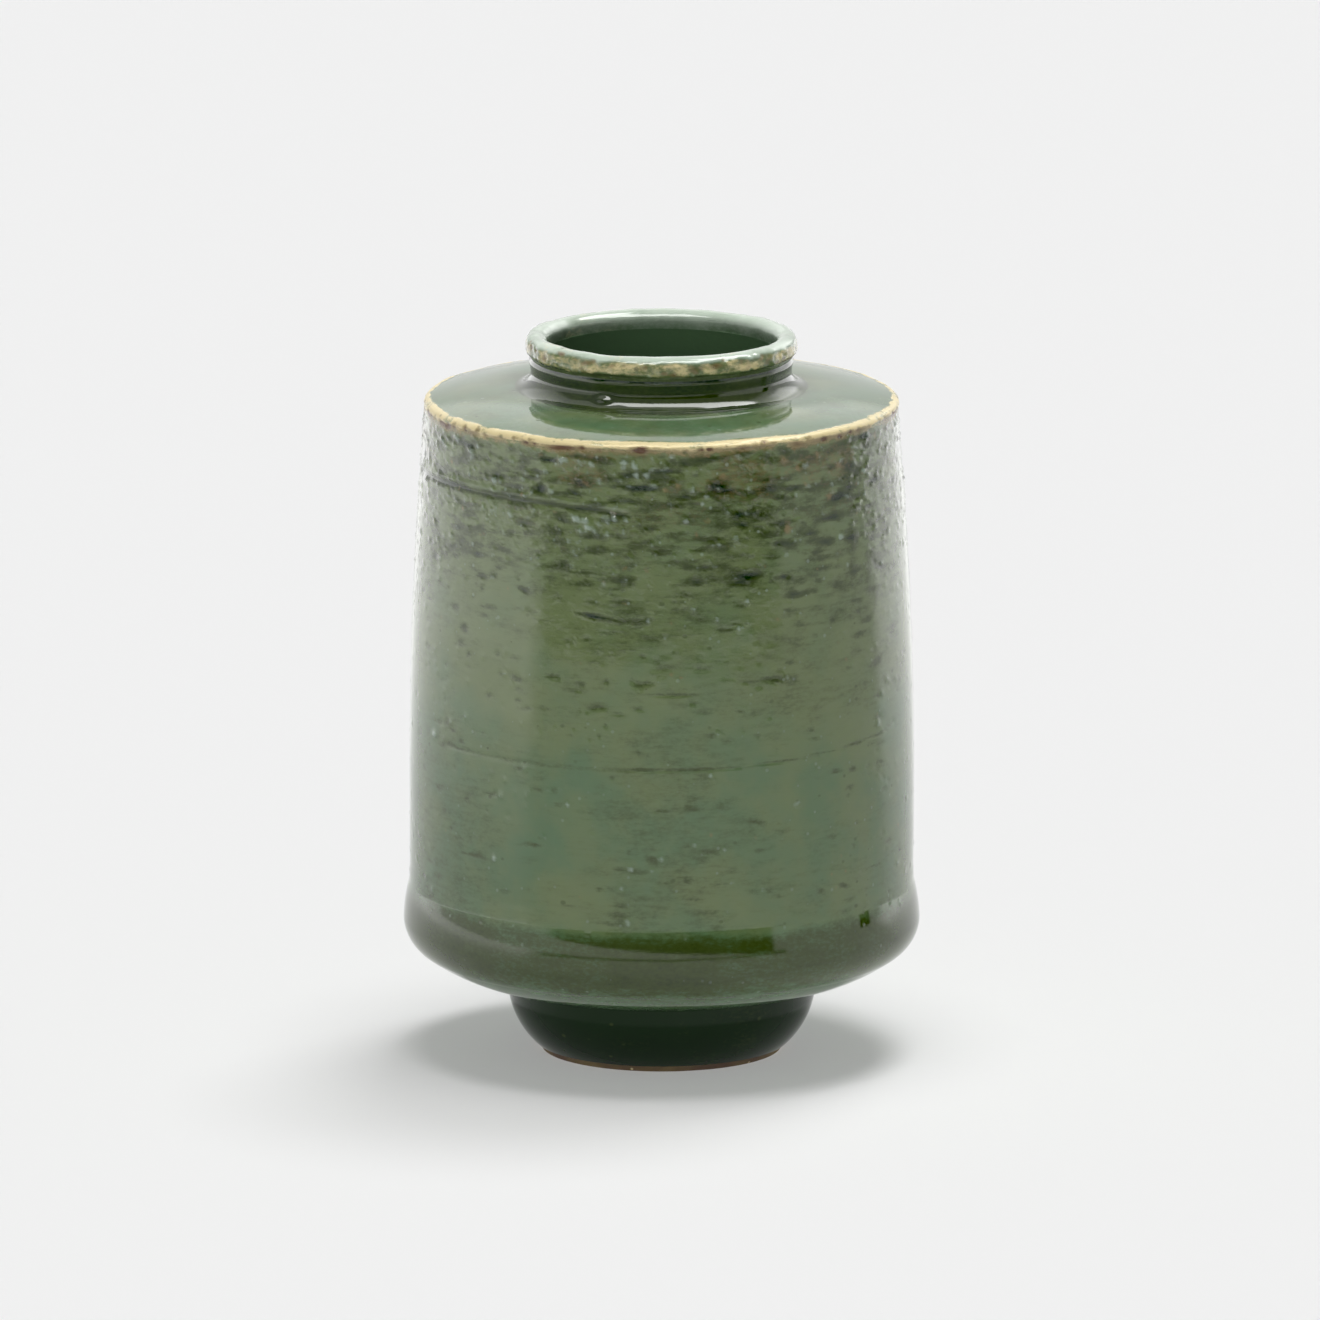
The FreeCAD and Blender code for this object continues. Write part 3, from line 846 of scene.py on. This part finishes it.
class Wire:
    """A socket; sums and products on it add the Math nodes."""

    def __init__(self, bench, socket):
        self.bench, self.socket = bench, socket

    def _sum(self, operation, first, second):
        made = self.bench.add("ShaderNodeMath", {"operation": operation}, {0: first, 1: second})
        return made["Value"]

    def __add__(self, other):
        return self._sum("ADD", self, other)

    def __radd__(self, other):
        return self._sum("ADD", other, self)

    def __sub__(self, other):
        return self._sum("SUBTRACT", self, other)

    def __rsub__(self, other):
        return self._sum("SUBTRACT", other, self)

    def __mul__(self, other):
        return self._sum("MULTIPLY", self, other)

    def __rmul__(self, other):
        return self._sum("MULTIPLY", other, self)

    def __truediv__(self, other):
        return self._sum("DIVIDE", self, other)

    def __pow__(self, other):
        return self._sum("POWER", self, other)

    def ease(self, low, high):
        """0 at low and 1 at high, smooth between."""
        made = self.bench.add(
            "ShaderNodeMapRange",
            {"interpolation_type": "SMOOTHSTEP", "clamp": True},
            {"Value": self, "From Min": low, "From Max": high, "To Min": 0.0, "To Max": 1.0},
        )
        return made["Result"]


class Made:
    """A node just added, whose outputs come as wires."""

    def __init__(self, bench, node):
        self.bench, self.node = bench, node

    def __getitem__(self, output):
        return Wire(self.bench, self.node.outputs[output])


class Bench:
    """A node tree being filled."""

    def __init__(self, tree):
        self.tree = tree
        tree.nodes.clear()

    def add(self, kind, settings=None, sockets=None):
        """Add a node: its settings first, then the values or wires of its sockets."""
        node = self.tree.nodes.new(kind)
        for name, value in (settings or {}).items():
            setattr(node, name, value)
        for name, value in (sockets or {}).items():
            socket = node.inputs[name]
            if isinstance(value, Wire):
                self.tree.links.new(value.socket, socket)
            else:
                socket.default_value = value
        return Made(self, node)

    def mix(self, share, first, second):
        """From the first colour to the second."""
        made = self.add("ShaderNodeMix", {"data_type": "RGBA", "clamp_factor": True},
                        {0: share, 6: paint(first), 7: paint(second)})
        return Wire(self, made.node.outputs[2])

    def field(self, name):
        """A field that the mesh carries."""
        return self.add("ShaderNodeAttribute", {"attribute_name": name})["Fac"]

    def place(self, stretch=(1, 1, 1)):
        """Place on the object, in metres, stretched."""
        spot = self.add("ShaderNodeTexCoord")["Object"]
        return self.add("ShaderNodeMapping", sockets={"Vector": spot, "Scale": stretch})["Vector"]

    def noise(self, size, stretch=(1, 1, 1), detail=2.0, rough=0.5, seed=0.0):
        """Noise of about that grain size in millimetres, from 0 to 1."""
        made = self.add(
            "ShaderNodeTexNoise",
            {"noise_dimensions": "4D"},
            {"Vector": self.place(stretch), "W": seed, "Scale": 1 / (size * MM),
             "Detail": detail, "Roughness": rough},
        )
        return made["Fac"]

    def specks(self, size, share, seed=0.0, stretch=(1, 1, 1)):
        """Small round specks in some of the cells of that size, 1 in the speck."""
        made = self.add(
            "ShaderNodeTexVoronoi",
            {"voronoi_dimensions": "4D", "feature": "F1"},
            {"Vector": self.place(stretch), "W": seed, "Scale": 1 / (size * MM)},
        )
        tint = self.add("ShaderNodeSeparateColor", sockets={0: made["Color"]})
        reach = tint["Red"].ease(1 - share, 1.0) * 0.34
        return (1 - (made["Distance"] / (reach + 0.001))).ease(0.0, 0.6)

    def surface(self, sockets):
        """The shader and the material output."""
        shader = self.add("ShaderNodeBsdfPrincipled", None, sockets)
        self.add("ShaderNodeOutputMaterial", None, {"Surface": shader["BSDF"]})


def paint(colour):
    """A colour with its alpha, or a wire as it is."""
    return colour if isinstance(colour, Wire) else (*colour, 1)


def new_material(name):
    """An empty material and its bench."""
    material = bpy.data.materials.new(name)
    material.use_nodes = True
    return material, Bench(material.node_tree)


def glaze_material(name, gloss=0.5):
    """Running green glaze: clouds and drags of green, milky grains, cream and ochre breaks, the cream
    also a painted highlight on the shoulder's edge.
    """
    colours = bpy.context.scene.vase_colours
    material, bench = new_material(name)
    pool, thin, cool = bench.field("pool"), bench.field("thin"), bench.field("cool")
    iron, grain, milk = bench.field("iron"), bench.field("grain"), bench.field("milk")
    coarse = bench.field("rough")
    fine = bench.noise(0.55, (0.8, 0.8, 1.4), 3.0, 0.6).ease(0.28, 0.72)
    hatch = bench.noise(1.3, (0.45, 0.45, 2.2), 3.0, 0.6, 3.0).ease(0.28, 0.72)
    clouds = bench.noise(7.0, (1, 1, 1), 3.0, 0.55, 7.0).ease(0.30, 0.70)
    blots = bench.noise(2.2, (0.7, 0.7, 1.3), 4.0, 0.65, 11.0).ease(0.28, 0.72)
    depth = pool * (0.76 + fine * 0.48) + (hatch - 0.5) * (0.15 + coarse * 0.09)
    depth = depth + (blots - 0.5) * (0.12 + coarse * 0.16)
    depth = pool + (depth - pool) * (1 - pool.ease(0.50, 0.80) * 0.65)
    leaf = bench.mix((cool + (clouds - 0.5) * 0.5).ease(0.0, 1.0), colours.sage, colours.teal)
    green = bench.mix(depth.ease(0.12, 0.66), leaf, colours.moss)
    green = bench.mix(depth.ease(0.60, 1.10), green, colours.bottle)
    pale = (milk + (fine - 0.5) * 0.14).ease(0.05, 1.0)
    body = bench.mix(pale, green, colours.milk)
    # Cream where the glaze breaks thin; on the shoulder's edge it is also a painted highlight.
    thin_glaze_and_edge_highlight = (thin + (fine - 0.5) * 0.34).ease(0.15, 0.85)
    body = bench.mix(thin_glaze_and_edge_highlight, body, colours.cream)
    warm = (iron + (fine - 0.5) * 0.36).ease(0.25, 0.95)
    body = bench.mix(warm * 0.75, body, colours.ochre)
    body = bench.mix(iron.ease(0.85, 1.5), body, colours.rust)
    white = (grain + (fine - 0.5) * 0.24).ease(0.15, 0.85)
    body = bench.mix(white * 0.75, body, colours.frost)
    dust = bench.specks(1.0, 0.6, 2.0) * (1 - pool.ease(0.55, 0.85))
    body = bench.mix(dust * (0.22 + coarse * 0.24), body, colours.frost)
    soot = bench.specks(1.5, 0.45, 5.0, (1, 1, 1.3))
    body = bench.mix(soot * 0.6, body, colours.moss)
    rough = 0.05 + clouds * 0.03 + coarse * 0.05 + thin_glaze_and_edge_highlight * 0.22 + warm * 0.10
    relief = (fine * 0.25 + hatch * 0.25 + blots * 0.7) * (0.10 + coarse * 0.8) + dust * 0.3 - soot * 0.2
    bump = bench.add("ShaderNodeBump", None, {
        "Strength": 0.38, "Distance": 0.00010, "Height": relief,
    })
    bench.surface({
        "Base Color": body,
        "Roughness": rough,
        "Normal": bump["Normal"],
        "IOR": 1.54,
        "Specular IOR Level": gloss,
    })
    return material


def clay_material(name):
    """Bare stoneware: warm brown, with grog, dark specks and the lines of trimming."""
    colours = bpy.context.scene.vase_colours
    material, bench = new_material(name)
    grog = bench.noise(0.6, (1, 1, 1), 4.0, 0.65)
    toast = bench.noise(6.0, (1, 1, 1), 3.0, 0.5, 4.0)
    body = bench.mix(toast.ease(0.35, 0.7), colours.clay, colours.ochre)
    body = bench.mix(bench.specks(1.3, 0.5, 1.0), body, colours.rust)
    body = bench.mix(bench.specks(0.9, 0.35, 9.0), body, colours.cream)
    bump = bench.add("ShaderNodeBump", None, {
        "Strength": 0.6, "Distance": 0.00015, "Height": grog,
    })
    bench.surface({
        "Base Color": body,
        "Roughness": 0.62 + grog * 0.25,
        "Normal": bump["Normal"],
    })
    return material


# --- operators ------------------------------------------------------------------------------


class VASE_OT_lip(bpy.types.Operator):
    """Glaze over the rolled lip, breaking beige on its bead."""

    bl_idname = "vase.lip"
    bl_label = "Lip Glaze"

    def execute(self, context):
        finish_piece(coat("lip", 3), ["lip_glaze"], glaze_material("lip glaze"))
        return {"FINISHED"}


class VASE_OT_neck(bpy.types.Operator):
    """Dark pooled glaze on the neck and in the hollow at its root."""

    bl_idname = "vase.neck"
    bl_label = "Neck Glaze"

    def execute(self, context):
        finish_piece(coat("neck", 3), ["neck_glaze"], glaze_material("neck glaze"))
        return {"FINISHED"}


class VASE_OT_shoulder(bpy.types.Operator):
    """Milky glaze on the shoulder, and its cream and ochre edge, the cream line partly a painted
    highlight.
    """

    bl_idname = "vase.shoulder"
    bl_label = "Shoulder Glaze"

    def execute(self, context):
        piece = coat("shoulder", 4)
        finish_piece(piece, ["shoulder_glaze"], glaze_material("shoulder glaze"))
        return {"FINISHED"}


class VASE_OT_wall(bpy.types.Operator):
    """Glaze on the wall, dragged, pitted and grained."""

    bl_idname = "vase.wall"
    bl_label = "Wall Glaze"

    def execute(self, context):
        finish_piece(coat("wall", 16), ["wall_glaze"], glaze_material("wall glaze"))
        return {"FINISHED"}


class VASE_OT_belly(bpy.types.Operator):
    """Glaze that runs down and pools on the belly and under it."""

    bl_idname = "vase.belly"
    bl_label = "Belly Glaze"

    def execute(self, context):
        piece = coat("belly", 8)
        finish_piece(piece, ["belly_glaze"], glaze_material("belly glaze"))
        return {"FINISHED"}


class VASE_OT_foot(bpy.types.Operator):
    """The deepest glaze, on the foot, its dark partly painted shade under the belly."""

    bl_idname = "vase.foot"
    bl_label = "Foot Glaze"

    def execute(self, context):
        piece = coat("foot", 5)
        finish_piece(piece, ["foot_glaze"], glaze_material("foot glaze", gloss=0.13))
        return {"FINISHED"}


class VASE_OT_clay(bpy.types.Operator):
    """Stoneware clay on the sections that keep the shape they were given."""

    bl_idname = "vase.clay"
    bl_label = "Clay"

    def execute(self, context):
        clay = clay_material("stoneware clay")
        for name in ("foot_ring", "base_floor", "belly_bowl", "body_wall",
                     "shoulder_plate", "neck_collar", "lip_roll"):
            for slot in frame["nodes"][name].material_slots:
                slot.material = clay
        # The liner glaze carries painted shade, darker down inside the hollow.
        inside = glaze_inside_painted_shade("liner glaze")
        for slot in frame["nodes"]["liner_glaze"].material_slots:
            slot.material = inside
        return {"FINISHED"}


def glaze_inside_painted_shade(name):
    """The glaze in the throat and the hollow: milky green at the mouth, darkening below as painted shade
    down inside the hollow.
    """
    colours = bpy.context.scene.vase_colours
    material, bench = new_material(name)
    up = bench.add("ShaderNodeSeparateXYZ", None, {0: bench.place()})["Z"]
    shade = bench.noise(5.0, (1, 1, 1.6), 3.0, 0.5, 8.0)
    # Teal to bottle green further down the throat: painted shade inside the hollow.
    depth = (up + (shade - 0.5) * 0.002).ease(LIP[1].z - 0.0030, LIP[1].z - 0.0140)
    body = bench.mix(depth, colours.teal, colours.bottle)
    fine = bench.noise(0.6, (1, 1, 1), 3.0, 0.6)
    bump = bench.add("ShaderNodeBump", None, {
        "Strength": 0.3, "Distance": 0.00010, "Height": fine,
    })
    bench.surface({
        "Base Color": body, "Roughness": 0.08 + shade * 0.1, "Normal": bump["Normal"], "IOR": 1.52,
    })
    return material


def turn_of(bench, split):
    """Turn about the axis of a split place: 0 towards -Y, a quarter turn towards +X."""
    made = bench.add("ShaderNodeMath", {"operation": "ARCTAN2"},
                     {0: split["X"], 1: -1 * split["Y"]})
    return made["Value"]


def between(angle, *degrees):
    """1 between the two middle angles, 0 outside the two outer ones, smooth between."""
    start, full, fading, end = (turn * DEGREE for turn in degrees)
    return angle.ease(start, full) * (1 - angle.ease(fading, end))


def studio_world(look):
    """Even light for the floor, and the bright and dark sides of a room for the gloss."""
    world = bpy.data.worlds.new("Studio")
    world.use_nodes = True
    bench = Bench(world.node_tree)
    way = bench.add("ShaderNodeTexCoord")["Generated"]
    split = bench.add("ShaderNodeSeparateXYZ", None, {0: way})
    side = turn_of(bench, split)
    up = bench.add("ShaderNodeMath", {"operation": "ARCSINE"}, {0: split["Z"]})["Value"]
    dark = between(side, -64, -58, 50, 53) + between(side, 100, 101, 107, 108)
    under = 4.0 * DEGREE - side * 0.10
    dark = dark * (up - under).ease(-0.4 * DEGREE, 0.4 * DEGREE)
    dark = dark * (1 - up.ease(14 * DEGREE, 16 * DEGREE))
    window = between(side, -60, -50, 140, 150) * between(up, 46, 50, 70, 74)
    glow = between(side, 118, 130, 156, 168) * between(up, 8, 14, 30, 40)
    room = between(side, -112, -96, 96, 112) * between(up, 12, 16, 42, 46)
    behind = split["Y"].ease(0.2, 0.7) * between(up, 14, 19, 40, 50)
    seen = 0.98 - 0.10 * split["X"] - dark * 1.1 + window * 9.0 + glow * 1.4 + behind * 0.6
    seen = seen - room * 0.75
    path = bench.add("ShaderNodeLightPath")
    plain = bench.add("ShaderNodeBackground", None, {
        "Color": (1, 1, 1, 1), "Strength": look.skylight,
    })
    bright = bench.add("ShaderNodeBackground", None, {"Color": (1, 1, 1, 1), "Strength": seen})
    shown = bench.add("ShaderNodeBackground", None, {"Color": (0.87, 0.87, 0.87, 1), "Strength": 1.0})
    both = bench.add("ShaderNodeMixShader", None, {
        0: path["Is Glossy Ray"], 1: plain["Background"], 2: bright["Background"],
    })
    whole = bench.add("ShaderNodeMixShader", None, {
        0: path["Is Camera Ray"], 1: both["Shader"], 2: shown["Background"],
    })
    bench.add("ShaderNodeOutputWorld", None, {"Surface": whole["Shader"]})
    bpy.context.scene.world = world


def flat_sector(name, near, far, first_turn, last_turn, height, steps=96):
    """A flat ring or part of a ring on the floor; turns start at -Y and go towards +X."""
    turns = np.linspace(first_turn, last_turn, steps + 1)
    points = []
    for reach in (near, far):
        points += [(reach * math.sin(t), -reach * math.cos(t), height) for t in turns]
    row = steps + 1
    quads = [(i, row + i, row + i + 1, i + 1) for i in range(steps)]
    mesh = bpy.data.meshes.new(name)
    mesh.from_pydata(points, [], quads)
    thing = bpy.data.objects.new(name, mesh)
    bpy.context.scene.collection.objects.link(thing)
    return thing


def flag_for_gloss(name, near, far, first_degrees, last_degrees, colour, glow):
    """A card on the floor that only the gloss shows; it glows more the further it reaches."""
    above_floor = 0.0004
    flag = flat_sector(name, near, far, first_degrees * DEGREE, last_degrees * DEGREE, above_floor)
    material, bench = new_material(name)
    spot = bench.add("ShaderNodeSeparateXYZ", None, {0: bench.place()})
    reach = (spot["X"] * spot["X"] + spot["Y"] * spot["Y"]) ** 0.5
    fade = 10
    inward = between(turn_of(bench, spot), first_degrees, first_degrees + fade,
                     last_degrees - fade, last_degrees)
    bench.surface({
        "Base Color": paint(colour), "Roughness": 1.0, "Specular IOR Level": 0.0,
        "Emission Color": bench.mix(reach.ease(0.04, 0.45) * inward, (0, 0, 0), (1, 1, 1)),
        "Emission Strength": glow,
    })
    flag.data.materials.append(material)
    for way in ("camera", "diffuse", "shadow", "transmission"):
        setattr(flag, f"visible_{way}", False)


def soft_lamp(name, from_turn, elevation, width, strength, shadow=True):
    """A far soft light from that side, which the gloss doesn't show."""
    lamp = bpy.data.lights.new(name, "SUN")
    lamp.angle = width
    lamp.energy = strength
    lamp.use_shadow = shadow
    thing = bpy.data.objects.new(name, lamp)
    bpy.context.scene.collection.objects.link(thing)
    towards = Vector((
        math.sin(from_turn) * math.cos(elevation),
        -math.cos(from_turn) * math.cos(elevation),
        math.sin(elevation),
    ))
    thing.rotation_mode = "QUATERNION"
    thing.rotation_quaternion = towards.to_track_quat("Z", "Y")
    thing.visible_glossy = False


class VASE_OT_stage(bpy.types.Operator):
    """Plain floor, soft light and the camera."""

    bl_idname = "vase.stage"
    bl_label = "Stage"

    def execute(self, context):
        look = context.scene.vase_stage
        scene = context.scene
        scene.view_settings.view_transform = "Standard"
        scene.view_settings.look = "None"
        eye = bpy.data.cameras.new("Camera")
        eye.lens, eye.sensor_width = look.lens, 36.0
        camera = bpy.data.objects.new("Camera", eye)
        scene.collection.objects.link(camera)
        back = Vector((0, -math.cos(look.elevation), math.sin(look.elevation)))
        camera.location = Vector((-look.side_step, 0, look.aim)) + back * look.distance
        camera.rotation_euler = back.to_track_quat("Z", "Y").to_euler()
        eye.clip_start, eye.clip_end = 0.05, 100.0
        scene.camera = camera
        floor = flat_sector("floor", 0.0, 40.0, -math.pi, math.pi, 0.0)
        material, bench = new_material("pale floor")
        grain = bench.noise(900.0, (1, 1, 1), 2.0)
        shade = bench.mix(grain * 0.02, look.floor, (0.84, 0.84, 0.84))
        bench.surface({"Base Color": shade, "Roughness": 1.0, "Specular IOR Level": 0.0})
        floor.data.materials.append(material)
        black_card = (0.05, 0.055, 0.05)
        flag_for_gloss("front_flag", 0.47, 1.3, -54, 56, black_card, glow=0.0)
        flag_for_gloss("front_corner", 1.3, 30.0, 38, 56, black_card, glow=0.0)
        flag_for_gloss("left_flag", 0.05, 30.0, -170, -54, look.floor, glow=1.1)
        flag_for_gloss("right_flag", 0.05, 30.0, 108, 170, look.floor, glow=1.1)
        studio_world(look)
        soft_lamp("key", 150 * DEGREE, 67 * DEGREE, 20 * DEGREE, look.key)
        soft_lamp("overhead", 60 * DEGREE, 87 * DEGREE, 30 * DEGREE, look.overhead)
        soft_lamp("fill", -25 * DEGREE, 65 * DEGREE, 10 * DEGREE, look.fill, shadow=False)
        return {"FINISHED"}


class VASE_PT_panel(bpy.types.Panel):
    """Sizes, colours and the steps that build the vase."""

    bl_idname = "VASE_PT_panel"
    bl_label = "Bud Vase"
    bl_space_type = "VIEW_3D"
    bl_region_type = "UI"
    bl_category = "Bud Vase"

    def draw(self, context):
        layout = self.layout
        for group in ("vase_sizes", "vase_colours", "vase_stage"):
            settings = getattr(context.scene, group)
            box = layout.box()
            for name in settings.bl_rna.properties.keys():
                if name not in ("rna_type", "name"):
                    box.prop(settings, name)
        for operator in OPERATORS:
            layout.operator(operator.bl_idname)


GROUPS = {"vase_sizes": VaseSizes, "vase_colours": VaseColours, "vase_stage": StageLook}
OPERATORS = (VASE_OT_stage, VASE_OT_clay, VASE_OT_lip, VASE_OT_neck, VASE_OT_shoulder,
             VASE_OT_wall, VASE_OT_belly, VASE_OT_foot)


def register():
    """Add the classes and the settings."""
    for group in (*GROUPS.values(), *OPERATORS, VASE_PT_panel):
        bpy.utils.register_class(group)
    for name, group in GROUPS.items():
        setattr(bpy.types.Scene, name, bpy.props.PointerProperty(type=group))


def unregister():
    """Take the settings and the classes away again."""
    for name in GROUPS:
        delattr(bpy.types.Scene, name)
    for group in reversed((*GROUPS.values(), *OPERATORS, VASE_PT_panel)):
        bpy.utils.unregister_class(group)


def main():
    """Build the vase and its stage."""
    register()
    for operator in OPERATORS:
        family, step = operator.bl_idname.split(".")
        getattr(getattr(bpy.ops, family), step)()


if __name__ == "__main__":
    main()
